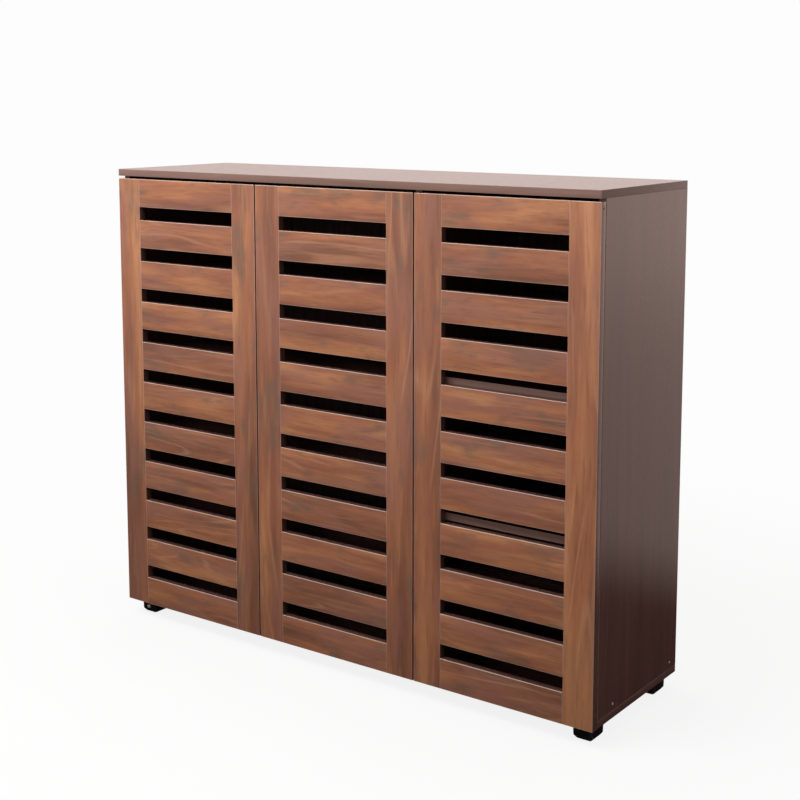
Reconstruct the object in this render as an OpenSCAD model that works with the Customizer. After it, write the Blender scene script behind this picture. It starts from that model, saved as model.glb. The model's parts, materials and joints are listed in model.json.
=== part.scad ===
// Three-door shoe cabinet with slatted doors on concealed cup hinges.
// Origin: on the floor, under the middle of the cabinet. Front faces -Y, +Z is up.

/* [Cabinet] */
// Overall width, over the side panels
cabinet_w = 1200; // [1170:5:1260]
// Overall depth, from the door fronts to the back panels
cabinet_d = 350; // [335:5:380]
// Overall height, from the floor to the top
cabinet_h = 1020; // [1010:5:1050]
// Height of the plastic feet
foot_h = 35; // [30:1:40]

/* [Boards] */
// Thickness of the melamine boards
board_t = 15; // [15:0.5:16]
// Thickness of the hardboard back panels
back_t = 3; // [3:0.5:4]
// Distance that the back panels stay inside the outer edges
back_inset = 3; // [2:1:5]

/* [Doors] */
// Thickness of the door bars and stiles
door_t = 16; // [16:0.5:18]
// Space between the closed doors and the carcass
door_back_gap = 2; // [2:0.5:3]
// Space between neighbouring doors
door_side_gap = 3; // [3:0.5:5]
// Space between the door tops and the top panel
door_top_gap = 5.5; // [4:0.5:6]
// Width of the upright stiles
stile_w = 63; // [60:1:70]
// Number of open slots in each door
slot_count = 10; // [8:1:11]
// Height of each open slot
slot_h = 29; // [26:1:31]
// Bevel along the front edges of bars and stiles
edge_bevel = 1.2; // [0.6:0.2:1.6]

/* [Shelves] */
// Top of the lowest shelf in the wide compartment
left_shelf_z = 250; // [240:5:255]
// Spacing of the shelves in the wide compartment
left_shelf_pitch = 180; // [175:5:185]
// Number of shelves in the wide compartment
left_shelf_count = 4; // [4:1:4]
// Top of the lowest shelf in the narrow compartment
right_shelf_z = 251; // [241:1:255]
// Spacing of the shelves in the narrow compartment
right_shelf_pitch = 133; // [130:1:134]
// Number of shelves in the narrow compartment
right_shelf_count = 5; // [5:1:5]

/* [Feet] */
// Width of a foot
foot_w = 43; // [40:1:50]
// Depth of a foot
foot_d = 48; // [44:1:56]
// Distance of a foot from the cabinet's side
foot_side_inset = 14; // [12:1:20]
// Distance of a front foot from the carcass front
foot_front_inset = 9; // [8:1:14]
// Distance of a rear foot from the cabinet's rear
foot_rear_inset = 18; // [16:1:24]

/* [Hinges] */
// Distance of the hinges from the top and bottom of a door
hinge_inset = 100; // [96:1:104]
// Diameter of the hinge cup
cup_d = 35; // [35:1:35]
// Distance from the door's hinge edge to the cup
cup_edge = 5; // [5:0.5:6]

/* [Hidden] */
$fn = 32;
cut = 0.5;            // how far a cutting tool runs past a face
fit = 0.05;           // radial clearance round pins, screws and dowels
recess_reach = 0.55;  // length of a cross recess, as a share of the screw head
recess_arm = 1 / 8;   // width of its arms, as a share of the head

// Colours
walnut = "sienna";
melamine = "saddlebrown";
hardboard = "tan";
black_plastic = "dimgray";
steel = "silver";
beech = "burlywood";

// Planes of the carcass
half_w = cabinet_w / 2;
front_y = -cabinet_d / 2;
rear_y = cabinet_d / 2;
carcass_y = front_y + door_t + door_back_gap;
back_y = rear_y - back_t;
side_z = foot_h + board_t;
top_z = cabinet_h - board_t;
side_h = top_z - side_z;
carcass_d = back_y - carcass_y;

// Doors: local x runs in from the hinge edge, y back from the front face, z up
door_w = (cabinet_w - 2 * door_side_gap) / 3;
door_h = top_z - door_top_gap - foot_h;
bar_count = slot_count + 1;
bar_h = (door_h - slot_count * slot_h) / bar_count;
bar_pitch = bar_h + slot_h;
bar_w = door_w - 2 * stile_w;
middle_edge_x = half_w - door_w - door_side_gap;
partition_x = middle_edge_x + door_side_gap / 2 - board_t / 2;
side_overlay = board_t;
partition_overlay = middle_edge_x - partition_x;

// Shelves
shelf_side_gap = 1;
shelf_front_gap = 2;
shelf_rear_gap = 4;
left_shelf_x = -half_w + board_t + shelf_side_gap;
left_shelf_w = partition_x - shelf_side_gap - left_shelf_x;
right_shelf_x = partition_x + board_t + shelf_side_gap;
right_shelf_w = half_w - board_t - shelf_side_gap - right_shelf_x;
shelf_y = carcass_y + shelf_front_gap;
shelf_d = carcass_d - shelf_front_gap - shelf_rear_gap;
support_ys = [carcass_y + 42, back_y - 47];
support_pin_d = 5;
support_pin_l = 6.5;
support_w = 12;
support_tab = 12;
support_t = 1.2;
support_drop = 7;

// Door joints
dowel_d = 8;
door_dowel_l = 40;
rail_dowel_offset = 18;
locating_hole_d = 4;
locating_hole_depth = 6;
locating_hole_drop = 12;

// Carcass joints
cam_d = 15;
cam_depth = 12.5;
cam_recess_depth = 3;
cam_inset = 34;
cam_ys = [carcass_y + 50, back_y - 57];
bolt_thread_r = 3.15;
bolt_thread_l = 11;
bolt_shank_r = 3;
bolt_head_r = 3.5;
bolt_head_l = 3;
bolt_bore_r = 4;
carcass_dowel_l = 30;
carcass_dowel_in_end = 20;
carcass_dowel_ys = [-60, 70];
block_size = [22, 26, 27];
block_screw_z = 13.5;
block_down_screw_x = 13;
block_down_screw_y = -8.7;
block_ys = [carcass_y + 60, rear_y - 31];
block_screw_d = 3;
block_screw_l = 33;
block_screw_head_d = 5;
nail_r = 0.8;
nail_l = 18;
nail_head_r = 1.8;
nail_head_t = 0.8;
nail_inset = 7;
nail_margin = 60;
upright_nail_count = 6;
wide_nail_count = 6;
narrow_nail_count = 3;
seam_x = partition_x + board_t / 2;
seam_nail_offset = 4;
seam_nails = [seam_x - seam_nail_offset, seam_x + seam_nail_offset];
nail_x = [-half_w + nail_inset, half_w - nail_inset];
nail_z = [foot_h + nail_inset, cabinet_h - nail_inset];

// Feet
foot_corner_r = 5;
foot_taper = 0.8;
foot_chamfer = 5;
foot_screw_d = 4;
foot_screw_head_d = 8;
foot_screw_seat_z = 11;
foot_front_screw_z = 14.5;
foot_front_screw_l = 15;
foot_front_head_r = 4.75;
foot_front_head_t = 2;
pan_head_taper = 0.8;

// Hinges, in a door's local x and y
cup_x = cup_edge + cup_d / 2;
cup_depth = 12;
cup_wall = 0.8;
flange_t = 1.2;
flange_rim = 1;
wing_x = cup_x + 9.5;
wing_w = 13;
wing_screw_z = 24;
cup_screw_d = 3.5;
cup_screw_l = 14;
cup_screw_head_d = 7;
link_pivot = [32.5, 13];
link_knee = [14, 7.4];
link_end = [9, 9.6];
link_t = 1.6;
link_w = 8;
link_pivot_r = 2.4;
link_end_r = 1.4;
pivot_pin_r = 1.5;
arm_w = 12;
arm_slot_w = 8.4;
arm_nose_r = 2.8;
plate_t = 3;
plate_rail_t = 1.5;
plate_y = door_t + door_back_gap + 37;
plate_size = [16, 50];
plate_screw_z = 16;
plate_screw_d = 4;
plate_screw_l = 13;
plate_screw_head_d = 7.5;
plate_rail_size = [36, 14];
arm_bar_t = 6;
arm_neck_trim = 0.2;
arm_neck_l = [8, 12];
arm_crank_y = [plate_y - 24, plate_y - 22];
arm_screw_ys = [plate_y - 10, plate_y + 12];
arm_end_y = plate_y + 27;
arm_screw_d = 4;
arm_screw_l = 8;
arm_bore_l = 12;
arm_screw_head_r = 3;
arm_screw_head_t = 1.4;

// Evenly spaced values from a to b
function steps(a, b, count) = [for (i = [0:count - 1]) a + i * (b - a) / (count - 1)];

// Where the back nails go, as [x, z]
level_nail_xs = concat(
  steps(nail_x[0] + nail_margin, seam_nails[0] - nail_margin, wide_nail_count),
  steps(seam_nails[1] + nail_margin, nail_x[1] - nail_margin, narrow_nail_count)
);
upright_nail_xs = concat(nail_x, seam_nails);
upright_nail_zs = steps(nail_z[0] + nail_margin, nail_z[1] - nail_margin, upright_nail_count);
nail_spots = concat(
  [for (x = level_nail_xs) for (z = nail_z) [x, z]],
  [for (x = upright_nail_xs) for (z = upright_nail_zs) [x, z]]
);

// Shelf tops
left_shelf_tops = [for (i = [0:left_shelf_count - 1]) left_shelf_z + i * left_shelf_pitch];
right_shelf_tops = [for (i = [0:right_shelf_count - 1]) right_shelf_z + i * right_shelf_pitch];

// The upright panels, as their left face
upright_xs = [-half_w, partition_x, half_w - board_t];

// Heights of the door dowels
dowel_zs = concat(
  [bar_h / 2 - rail_dowel_offset, bar_h / 2 + rail_dowel_offset],
  [for (i = [1:slot_count - 1]) i * bar_pitch + bar_h / 2],
  [door_h - bar_h / 2 - rail_dowel_offset, door_h - bar_h / 2 + rail_dowel_offset]
);

// ---------- shared shapes ----------

// A countersunk screw or nail-like hole cutter: head at z = 0, point down
module screw_shape(d, length, head_d, grow = 0) {
  head_h = (head_d - d) / 2;
  translate([0, 0, -length]) cylinder(h = length, r = d / 2 + grow);
  translate([0, 0, -head_h - grow]) cylinder(h = head_h + grow, r1 = d / 2 + grow, r2 = head_d / 2 + grow);
}

// The tool that cuts a screw's hole, open above the head
module screw_hole(d, length, head_d) {
  screw_shape(d, length, head_d, fit);
  cylinder(h = cut, r = head_d / 2 + fit);
}

// A cross recess cut down from z = 0
module cross_recess(head_d, depth) {
  for (turn = [0, 90])
    rotate([0, 0, turn]) translate([-head_d * recess_reach / 2, -head_d * recess_arm / 2, -depth])
      cube([head_d * recess_reach, head_d * recess_arm, depth + cut]);
}

// A countersunk screw with a cross recess
module countersunk_screw(d, length, head_d) {
  difference() {
    screw_shape(d, length, head_d);
    cross_recess(head_d, d / 3);
  }
}

// A rectangle whose two front corners are bevelled
module beveled_rect(w, d, bevel_low, bevel_high) {
  polygon([
    [bevel_low, 0], [w - bevel_high, 0], [w, bevel_high],
    [w, d], [0, d], [0, bevel_low]
  ]);
}

// A straight strip between two points, with round ends
module strip(a, b, thickness, r_a, r_b) {
  run = b - a;
  translate(a) circle(r = r_a);
  translate(b) circle(r = r_b);
  translate(a) rotate(atan2(run[1], run[0])) translate([0, -thickness / 2]) square([norm(run), thickness]);
}

// Places a door: side 1 hinges on its left edge, side -1 on its right edge
module at_door(edge_x, side) {
  translate([edge_x, front_y, foot_h])
    if (side > 0) children();
    else mirror([1, 0, 0]) children();
}

module at_left_door() { at_door(-half_w, 1) children(); }
module at_middle_door() { at_door(middle_edge_x, -1) children(); }
module at_right_door() { at_door(half_w, -1) children(); }

// Places a shape at each hinge height of a door
module at_hinges() {
  for (z = [hinge_inset, door_h - hinge_inset])
    translate([0, 0, z]) children();
}

// A flat-headed nail with its head flush with z = 0
module nail(grow = 0) {
  translate([0, 0, -nail_head_t]) cylinder(h = nail_head_t + grow, r = nail_head_r + grow);
  translate([0, 0, -nail_l]) cylinder(h = nail_l, r = nail_r + grow);
}

// ---------- fastener places ----------

module back_nail_set(grow = 0) {
  for (spot = nail_spots)
    translate([spot[0], rear_y, spot[1]]) rotate([-90, 0, 0]) nail(grow);
}

// Places a shape at every cam joint of a panel's end: z points out of the end
module at_panel_ends(ys, tops_only = false) {
  for (x = upright_xs) {
    for (y = ys) {
      translate([x + board_t / 2, y, top_z]) children();
      if (!tops_only) translate([x + board_t / 2, y, side_z]) mirror([0, 0, 1]) children();
    }
  }
}

// Places a shape at the partition's lower cam joints: z points down out of its end
module at_partition_foot() {
  for (y = cam_ys)
    translate([partition_x + board_t / 2, y, side_z]) mirror([0, 0, 1]) children();
}

module at_cam_joints() {
  at_panel_ends(cam_ys, true) children();
  at_partition_foot() children();
}

// Places a shape at each cam, on the panel face that looks into the cabinet
module at_cams() {
  cam_z = top_z - cam_inset;
  for (y = cam_ys) {
    translate([-half_w + board_t, y, cam_z]) rotate([0, 90, 0]) children();
    translate([half_w - board_t, y, cam_z]) rotate([0, -90, 0]) children();
    translate([partition_x, y, cam_z]) rotate([0, -90, 0]) children();
    translate([partition_x, y, side_z + cam_inset]) rotate([0, -90, 0]) children();
  }
}

// Places a shape at each corner block's outer lower corner, x pointing into the cabinet
module at_blocks() {
  for (y = block_ys) {
    translate([-half_w + board_t, y, side_z]) children();
    translate([half_w - board_t, y, side_z]) mirror([1, 0, 0]) children();
  }
}

// Places a shape at each shelf support: x points into the compartment, z is the shelf's underside
module at_supports() {
  for (y = support_ys) {
    for (z = left_shelf_tops) {
      translate([-half_w + board_t, y, z - board_t]) children();
      translate([partition_x, y, z - board_t]) mirror([1, 0, 0]) children();
    }
    for (z = right_shelf_tops) {
      translate([partition_x + board_t, y, z - board_t]) children();
      translate([half_w - board_t, y, z - board_t]) mirror([1, 0, 0]) children();
    }
  }
}

// Places a shape at each foot's middle
module at_feet() {
  for (x_side = [-1, 1])
    for (y_side = [-1, 1])
      at_foot(x_side, y_side) children();
}

module at_foot(x_side, y_side) {
  foot_x = half_w - foot_side_inset - foot_w / 2;
  front_foot_y = carcass_y + foot_front_inset + foot_d / 2;
  rear_foot_y = rear_y - foot_rear_inset - foot_d / 2;
  translate([x_side * foot_x, y_side < 0 ? front_foot_y : rear_foot_y, 0]) children();
}

// ---------- cutting tools ----------

module bolt_bores() {
  at_cam_joints() translate([0, 0, -cam_inset]) cylinder(h = cam_inset + cut, r = bolt_bore_r);
}

module bolt_thread_holes() {
  at_cam_joints() cylinder(h = bolt_thread_l + cut, r = bolt_thread_r);
}

module carcass_dowel_set(grow = 0) {
  at_panel_ends(carcass_dowel_ys)
    translate([0, 0, -carcass_dowel_in_end - grow])
      cylinder(h = carcass_dowel_l + 2 * grow, r = dowel_d / 2 + grow);
}

module cam_pockets() {
  at_cams() translate([0, 0, -cam_depth]) cylinder(h = cam_depth + cut, r = cam_d / 2 + fit);
}

module support_bores() {
  at_supports()
    translate([-support_pin_l - cut, 0, -support_drop])
      rotate([0, 90, 0]) cylinder(h = support_pin_l + 2 * cut, r = support_pin_d / 2 + fit);
}

module block_screw_holes() {
  at_block_side_screws() screw_hole(block_screw_d, block_screw_l, block_screw_head_d);
  at_block_down_screws() screw_hole(block_screw_d, block_screw_l, block_screw_head_d);
}

module at_block_side_screws() {
  at_blocks() translate([-board_t, 0, block_screw_z]) rotate([0, -90, 0]) children();
}

module at_block_down_screws() {
  at_blocks() translate([block_down_screw_x, block_down_screw_y, block_size[2]]) children();
}

module hinge_plate_screw_places(face_x) {
  at_hinges()
    for (z = [-plate_screw_z, plate_screw_z])
      translate([face_x + plate_t, plate_y, z]) rotate([0, 90, 0]) children();
}

module at_plate_screws() {
  at_left_door() hinge_plate_screw_places(side_overlay) children();
  at_middle_door() hinge_plate_screw_places(partition_overlay) children();
  at_right_door() hinge_plate_screw_places(side_overlay) children();
}

module plate_screw_holes() {
  at_plate_screws() screw_hole(plate_screw_d, plate_screw_l, plate_screw_head_d);
}

// ---------- carcass boards ----------

module top_panel() {
  color(melamine)
    difference() {
      translate([-half_w, front_y, top_z]) cube([cabinet_w, back_y - front_y, board_t]);
      bolt_thread_holes();
      carcass_dowel_set(fit);
      back_nail_set(fit);
    }
}

module bottom_panel() {
  color(melamine)
    difference() {
      translate([-half_w, carcass_y, foot_h]) cube([cabinet_w, carcass_d, board_t]);
      bolt_thread_holes();
      carcass_dowel_set(fit);
      back_nail_set(fit);
      block_screw_holes();
      foot_screw_holes();
    }
}

// An upright panel with everything that is bored into it
module upright_panel(x) {
  color(melamine)
    difference() {
      translate([x, carcass_y, side_z]) cube([board_t, carcass_d, side_h]);
      bolt_bores();
      carcass_dowel_set(fit);
      cam_pockets();
      support_bores();
      block_screw_holes();
      plate_screw_holes();
      back_nail_set(fit);
    }
}

module side_panel_left() { upright_panel(-half_w); }
module side_panel_right() { upright_panel(half_w - board_t); }
module partition_panel() { upright_panel(partition_x); }

module back_panel(x_low, x_high) {
  color(hardboard)
    difference() {
      translate([x_low, back_y, foot_h + back_inset])
        cube([x_high - x_low, back_t, cabinet_h - foot_h - 2 * back_inset]);
      back_nail_set(fit);
    }
}

module back_panel_left() { back_panel(-half_w + back_inset, seam_x - fit); }
module back_panel_right() { back_panel(seam_x + fit, half_w - back_inset); }

module left_shelf(i) {
  color(melamine)
    translate([left_shelf_x, shelf_y, left_shelf_tops[i] - board_t])
      cube([left_shelf_w, shelf_d, board_t]);
}

module right_shelf(i) {
  color(melamine)
    translate([right_shelf_x, shelf_y, right_shelf_tops[i] - board_t])
      cube([right_shelf_w, shelf_d, board_t]);
}

// ---------- carcass fittings ----------

// An angle-shaped pin that carries a shelf
module shelf_support() {
  translate([-support_pin_l, 0, -support_drop])
    rotate([0, 90, 0]) cylinder(h = support_pin_l, r = support_pin_d / 2);
  translate([0, -support_w / 2, -support_w]) cube([support_t, support_w, support_w]);
  translate([0, -support_w / 2, -support_t]) cube([support_tab, support_w, support_t]);
}

module shelf_supports() {
  color(steel) at_supports() shelf_support();
}

// A cam bolt: threaded into the board over z = 0, its head inside the cam
module cam_bolt() {
  cylinder(h = bolt_thread_l, r = bolt_thread_r);
  translate([0, 0, bolt_head_l - cam_inset]) cylinder(h = cam_inset - bolt_head_l, r = bolt_shank_r);
  translate([0, 0, -cam_inset]) cylinder(h = bolt_head_l, r = bolt_head_r);
}

module cam_bolts() {
  color(steel) at_cam_joints() cam_bolt();
}

// A cam lock: a disc with a cross recess and a hollow for the bolt
module cam_lock() {
  difference() {
    translate([0, 0, -cam_depth]) cylinder(h = cam_depth, r = cam_d / 2);
    rotate([0, 0, 45]) cross_recess(cam_d, cam_recess_depth);
  }
}

module cam_locks() {
  color(steel)
    difference() {
      at_cams() cam_lock();
      bolt_bores();
    }
}

module carcass_dowels() {
  color(beech) carcass_dowel_set();
}

module corner_blocks() {
  color(black_plastic)
    difference() {
      at_blocks() translate([0, -block_size[1] / 2, 0]) cube(block_size);
      block_screw_holes();
    }
}

module block_screws() {
  color(steel) {
    at_block_side_screws() countersunk_screw(block_screw_d, block_screw_l, block_screw_head_d);
    at_block_down_screws() countersunk_screw(block_screw_d, block_screw_l, block_screw_head_d);
  }
}

module back_nails() {
  color(steel) back_nail_set();
}

// ---------- feet ----------

module rounded_rect(w, d, r) {
  translate([-w / 2 + r, -d / 2]) square([w - 2 * r, d]);
  translate([-w / 2, -d / 2 + r]) square([w, d - 2 * r]);
  for (x = [-w / 2 + r, w / 2 - r])
    for (y = [-d / 2 + r, d / 2 - r])
      translate([x, y]) circle(r = r);
}

// A foot's outline seen from one side: slightly tapered, lower corners cut off
module foot_outline(w) {
  low = w / 2 - foot_taper;
  polygon([
    [-w / 2, foot_h], [-low, foot_chamfer], [-low + foot_chamfer, 0],
    [low - foot_chamfer, 0], [low, foot_chamfer], [w / 2, foot_h]
  ]);
}

module foot_body() {
  difference() {
    intersection() {
      linear_extrude(foot_h) rounded_rect(foot_w, foot_d, foot_corner_r);
      rotate([90, 0, 0]) linear_extrude(foot_d + cut, center = true) foot_outline(foot_w);
      rotate([90, 0, 90]) linear_extrude(foot_w + cut, center = true) foot_outline(foot_d);
    }
    translate([0, 0, -cut])
      cylinder(h = foot_screw_seat_z + cut, r = foot_screw_head_d / 2 + cut);
    translate([0, 0, foot_screw_seat_z])
      mirror([0, 0, 1]) screw_hole(foot_screw_d, foot_h, foot_screw_head_d);
  }
}

module foot(x_side, y_side) {
  color(black_plastic) at_foot(x_side, y_side) foot_body();
}

// The front left foot, bored for the screw in its front face
module foot_front_left() {
  difference() {
    foot(-1, -1);
    at_foot(-1, -1) translate([0, -foot_d / 2, foot_front_screw_z])
      rotate([-90, 0, 0]) cylinder(h = foot_front_screw_l, r = foot_screw_d / 2 + fit);
  }
}

module foot_front_right() { foot(1, -1); }
module foot_rear_left() { foot(-1, 1); }
module foot_rear_right() { foot(1, 1); }

module at_foot_screws() {
  at_feet() translate([0, 0, foot_screw_seat_z]) mirror([0, 0, 1]) children();
}

module foot_screw_holes() {
  at_foot_screws() screw_shape(foot_screw_d, foot_h, foot_screw_head_d, fit);
}

module foot_fixing_screws() {
  color(steel) at_foot_screws() countersunk_screw(foot_screw_d, foot_h, foot_screw_head_d);
}

// The pan-headed screw in the front face of the front left foot
module foot_front_screw() {
  head_top = foot_front_screw_z + foot_front_head_r;
  face_inset = foot_taper * (foot_h - head_top) / (foot_h - foot_chamfer);
  color(steel)
    at_foot(-1, -1)
      translate([0, -foot_d / 2 + face_inset, foot_front_screw_z]) rotate([90, 0, 0]) {
        pan_head(foot_front_head_r, foot_front_head_t);
        translate([0, 0, face_inset - foot_front_screw_l])
          cylinder(h = foot_front_screw_l - face_inset, r = foot_screw_d / 2);
      }
}

// A flat pan head with a cross recess, standing on z = 0
module pan_head(r, t) {
  difference() {
    cylinder(h = t, r1 = r, r2 = r * pan_head_taper);
    translate([0, 0, t]) cross_recess(2 * r, t / 2);
  }
}

// ---------- hinges on the carcass ----------

module hinge_plate(face_x) {
  difference() {
    union() {
      translate([face_x, plate_y - plate_size[0] / 2, -plate_size[1] / 2])
        cube([plate_t, plate_size[0], plate_size[1]]);
      translate([face_x, plate_y - plate_rail_size[0] / 2, -plate_rail_size[1] / 2])
        cube([plate_t + plate_rail_t, plate_rail_size[0], plate_rail_size[1]]);
    }
    arm_screw_bores(face_x);
  }
}

module arm_screw_places(face_x) {
  for (y = arm_screw_ys)
    translate([face_x + plate_t + plate_rail_t + arm_bar_t, y, 0]) rotate([0, 90, 0]) children();
}

module arm_screw_bores(face_x) {
  arm_screw_places(face_x)
    translate([0, 0, -arm_bore_l]) cylinder(h = 2 * arm_bore_l, r = arm_screw_d / 2 + fit);
}

module hinge_plates() {
  color(steel)
    difference() {
      union() {
        at_left_door() at_hinges() hinge_plate(side_overlay);
        at_middle_door() at_hinges() hinge_plate(partition_overlay);
        at_right_door() at_hinges() hinge_plate(side_overlay);
      }
      plate_screw_holes();
    }
}

module hinge_plate_screws() {
  color(steel) at_plate_screws() countersunk_screw(plate_screw_d, plate_screw_l, plate_screw_head_d);
}

// The fixed arm, cranked from the plate to the nose that sits in the cup's mouth
module hinge_arm(face_x) {
  low_x = face_x + plate_t + plate_rail_t;
  high_x = low_x + arm_bar_t;
  neck_r = arm_nose_r - arm_neck_trim;
  neck = [link_pivot[0] - neck_r, link_pivot[0] + neck_r];
  difference() {
    linear_extrude(arm_w, center = true) {
      translate(link_pivot) circle(r = arm_nose_r);
      polygon([
        [neck[0], link_pivot[1]], [neck[1], link_pivot[1]], [neck[1], link_pivot[1] + arm_neck_l[1]],
        [high_x, arm_crank_y[1]], [high_x, arm_end_y], [low_x, arm_end_y],
        [low_x, arm_crank_y[0]], [neck[0], link_pivot[1] + arm_neck_l[0]]
      ]);
    }
    translate([link_pivot[0] - arm_nose_r * 2, link_pivot[1] - arm_nose_r * 2, -arm_slot_w / 2])
      cube([arm_nose_r * 4, arm_nose_r * 3, arm_slot_w]);
    translate(link_pivot) cylinder(h = arm_w + cut, r = pivot_pin_r + fit, center = true);
    arm_screw_bores(face_x);
  }
}

module hinge_arms() {
  color(steel) {
    at_left_door() at_hinges() hinge_arm(side_overlay);
    at_middle_door() at_hinges() hinge_arm(partition_overlay);
    at_right_door() at_hinges() hinge_arm(side_overlay);
  }
}

module arm_screws(face_x) {
  arm_screw_places(face_x) {
    pan_head(arm_screw_head_r, arm_screw_head_t);
    translate([0, 0, -arm_screw_l]) cylinder(h = arm_screw_l, r = arm_screw_d / 2);
  }
}

module hinge_arm_screws() {
  color(steel) {
    at_left_door() at_hinges() arm_screws(side_overlay);
    at_middle_door() at_hinges() arm_screws(partition_overlay);
    at_right_door() at_hinges() arm_screws(side_overlay);
  }
}

// The two links of one door, each with the pin that turns in its arm
module hinge_links() {
  color(steel)
    at_hinges() {
      linear_extrude(link_w, center = true) {
        strip(link_pivot, link_knee, link_t, link_pivot_r, link_t / 2);
        strip(link_knee, link_end, link_t, link_t / 2, link_end_r);
      }
      translate(link_pivot) cylinder(h = arm_w, r = pivot_pin_r, center = true);
    }
}

module left_hinge_links() { at_left_door() hinge_links(); }
module middle_hinge_links() { at_middle_door() hinge_links(); }
module right_hinge_links() { at_right_door() hinge_links(); }

// ---------- doors ----------

// One horizontal bar, bevelled at its front edges and at both ends
module bar(index) {
  translate([stile_w, 0, index * bar_pitch])
    intersection() {
      linear_extrude(bar_h) beveled_rect(bar_w, door_t, edge_bevel, edge_bevel);
      rotate([90, 0, 90]) linear_extrude(bar_w)
        polygon([
          [edge_bevel, 0], [door_t, 0], [door_t, bar_h],
          [edge_bevel, bar_h], [0, bar_h - edge_bevel], [0, edge_bevel]
        ]);
    }
}

module door_dowel_set(grow = 0) {
  for (x = [stile_w, door_w - stile_w])
    for (z = dowel_zs)
      translate([x, door_t / 2, z]) rotate([0, 90, 0])
        cylinder(h = door_dowel_l + 2 * grow, r = dowel_d / 2 + grow, center = true);
}

module door_bars(indexes) {
  color(walnut)
    difference() {
      for (i = indexes) bar(i);
      door_dowel_set(fit);
    }
}

module slats() { door_bars([1:slot_count - 1]); }
module top_rail() { door_bars([slot_count]); }
module bottom_rail() { door_bars([0]); }

module free_stile() {
  color(walnut)
    difference() {
      translate([door_w - stile_w, 0, 0])
        linear_extrude(door_h) beveled_rect(stile_w, door_t, edge_bevel, edge_bevel);
      door_dowel_set(fit);
    }
}

module hinge_stile() {
  color(walnut)
    difference() {
      linear_extrude(door_h) beveled_rect(stile_w, door_t, edge_bevel, edge_bevel);
      door_dowel_set(fit);
      at_hinges()
        translate([cup_x, door_t - cup_depth - fit, 0])
          rotate([-90, 0, 0]) cylinder(h = cup_depth + cut, r = cup_d / 2 + fit);
      cup_screw_places() screw_shape(cup_screw_d, cup_screw_l, cup_screw_head_d, fit);
      translate([-cut, door_t / 2, door_h - locating_hole_drop])
        rotate([0, 90, 0]) cylinder(h = locating_hole_depth + cut, r = locating_hole_d / 2);
    }
}

module door_dowels() {
  color(beech) door_dowel_set();
}

module cup_screw_places() {
  at_hinges()
    for (z = [-wing_screw_z, wing_screw_z])
      translate([wing_x, door_t + flange_t, z]) rotate([-90, 0, 0]) children();
}

// A pressed cup with its flange and two screw wings, mouth towards the cabinet
module hinge_cup() {
  difference() {
    union() {
      translate([cup_x, door_t, 0]) rotate([90, 0, 0]) cylinder(h = cup_depth, r = cup_d / 2);
      translate([0, door_t + flange_t, 0]) rotate([90, 0, 0])
        linear_extrude(flange_t) {
          translate([cup_x, 0]) circle(r = cup_d / 2 + flange_rim);
          translate([wing_x - wing_w / 2, -wing_screw_z]) square([wing_w, 2 * wing_screw_z]);
          for (z = [-wing_screw_z, wing_screw_z])
            translate([wing_x, z]) circle(r = wing_w / 2);
        }
    }
    translate([cup_x, door_t + flange_t + cut, 0]) rotate([90, 0, 0])
      cylinder(h = cup_depth + flange_t + cut - cup_wall, r = cup_d / 2 - cup_wall);
  }
}

module hinge_cups() {
  color(steel)
    difference() {
      at_hinges() hinge_cup();
      cup_screw_places() screw_hole(cup_screw_d, cup_screw_l, cup_screw_head_d);
    }
}

module cup_screws() {
  color(steel) cup_screw_places() countersunk_screw(cup_screw_d, cup_screw_l, cup_screw_head_d);
}

top_panel();
bottom_panel();
side_panel_left();
side_panel_right();
partition_panel();
back_panel_left();
back_panel_right();
left_shelf(0);  // shelf_left_1
left_shelf(1);  // shelf_left_2
left_shelf(2);  // shelf_left_3
left_shelf(3);  // shelf_left_4
right_shelf(0);  // shelf_right_1
right_shelf(1);  // shelf_right_2
right_shelf(2);  // shelf_right_3
right_shelf(3);  // shelf_right_4
right_shelf(4);  // shelf_right_5
shelf_supports();
foot_front_left();
foot_front_right();
foot_rear_left();
foot_rear_right();
foot_fixing_screws();
foot_front_screw();
cam_bolts();
cam_locks();
carcass_dowels();
corner_blocks();
block_screws();
back_nails();
hinge_plates();
hinge_plate_screws();
hinge_arms();
hinge_arm_screws();
at_left_door() hinge_stile();  // left_door_hinge_stile
at_left_door() free_stile();  // left_door_free_stile
at_left_door() top_rail();  // left_door_top_rail
at_left_door() bottom_rail();  // left_door_bottom_rail
at_left_door() slats();  // left_door_slats
at_left_door() door_dowels();  // left_door_dowels
at_left_door() hinge_cups();  // left_door_hinge_cups
at_left_door() cup_screws();  // left_door_cup_screws
left_hinge_links();
at_middle_door() hinge_stile();  // middle_door_hinge_stile
at_middle_door() free_stile();  // middle_door_free_stile
at_middle_door() top_rail();  // middle_door_top_rail
at_middle_door() bottom_rail();  // middle_door_bottom_rail
at_middle_door() slats();  // middle_door_slats
at_middle_door() door_dowels();  // middle_door_dowels
at_middle_door() hinge_cups();  // middle_door_hinge_cups
at_middle_door() cup_screws();  // middle_door_cup_screws
middle_hinge_links();
at_right_door() hinge_stile();  // right_door_hinge_stile
at_right_door() free_stile();  // right_door_free_stile
at_right_door() top_rail();  // right_door_top_rail
at_right_door() bottom_rail();  // right_door_bottom_rail
at_right_door() slats();  // right_door_slats
at_right_door() door_dowels();  // right_door_dowels
at_right_door() hinge_cups();  // right_door_hinge_cups
at_right_door() cup_screws();  // right_door_cup_screws
right_hinge_links();
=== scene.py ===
"""A three-door shoe cabinet with slatted doors, in metres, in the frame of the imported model."""
import json
import math
import random

import bmesh
import bpy
from mathutils import Matrix, Vector


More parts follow.
